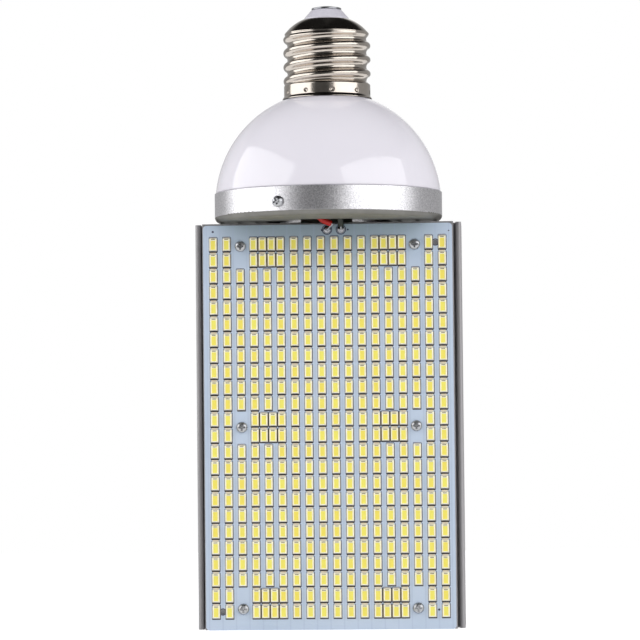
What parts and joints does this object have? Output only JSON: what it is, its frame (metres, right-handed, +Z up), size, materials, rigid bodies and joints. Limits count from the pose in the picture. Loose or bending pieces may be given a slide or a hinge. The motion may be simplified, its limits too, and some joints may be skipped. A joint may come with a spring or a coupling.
{
  "type": "corn led bulb",
  "caption": "Street-lamp retrofit bulb: a flat board of LEDs on a finned aluminium heat sink, under an aluminium collar, a white dome and a large nickel screw cap.",
  "frame": {"origin": "middle of the lamp's footprint at the bottom end of the heat sink, straight below the screw cap", "axes": "+Z up the lamp axis to the screw cap, -Y out of the face with the LEDs, +X to the right seen from that face"},
  "size_m": [0.119, 0.1022, 0.2791],
  "materials": {
    "nickel_plate": "bright nickel plating on rolled brass",
    "cap_ceramic": "glazed, pale lilac",
    "white_housing": "moulded, high gloss",
    "blasted_aluminium": "turned, bead-blasted and anodised",
    "extruded_aluminium": "extruded, plain anodised",
    "board_mask": "pale lacquer on aluminium-cored board",
    "led_package": "white moulded package with a yellow phosphor window",
    "zinc_screw": "bright zinc plating",
    "solder": "bright tin solder",
    "red_insulation": "satin silicone",
    "black_insulation": "satin silicone",
    "white_insulation": "satin silicone",
    "circuit_board": "green solder mask",
    "ferrite": "sintered, matt",
    "winding_tape": "yellow tape over enamelled wire",
    "capacitor_sleeve": "shrunk sleeve on an aluminium can",
    "film_case": "moulded case",
    "black_epoxy": "moulded epoxy",
    "blue_epoxy": "dipped epoxy",
    "plated_brass": "nickel-plated brass"
  },
  "bodies": {
    "root": {"screw_shell": "nickel_plate", "cap_insulator": "cap_ceramic", "centre_contact": "nickel_plate", "dome_housing": "white_housing", "collar": "blasted_aluminium", "collar_screws": "zinc_screw", "end_screws": "zinc_screw", "heat_sink": "extruded_aluminium", "led_board": "board_mask", "leds": "led_package", "board_screws": "zinc_screw", "solder_joints": "solder", "positive_lead": "red_insulation", "negative_lead": "black_insulation", "live_lead": "red_insulation", "neutral_lead": "white_insulation", "driver_standoffs": "plated_brass", "driver_board": "circuit_board", "driver_screws": "zinc_screw", "transformer_core": "ferrite", "transformer_winding": "winding_tape", "bulk_capacitors": "capacitor_sleeve", "output_capacitor": "capacitor_sleeve", "line_choke": "ferrite", "film_capacitor": "film_case", "bridge_rectifier": "black_epoxy", "power_transistor": "black_epoxy", "fuse": "black_epoxy", "varistor": "blue_epoxy"}
  },
  "joints": []
}
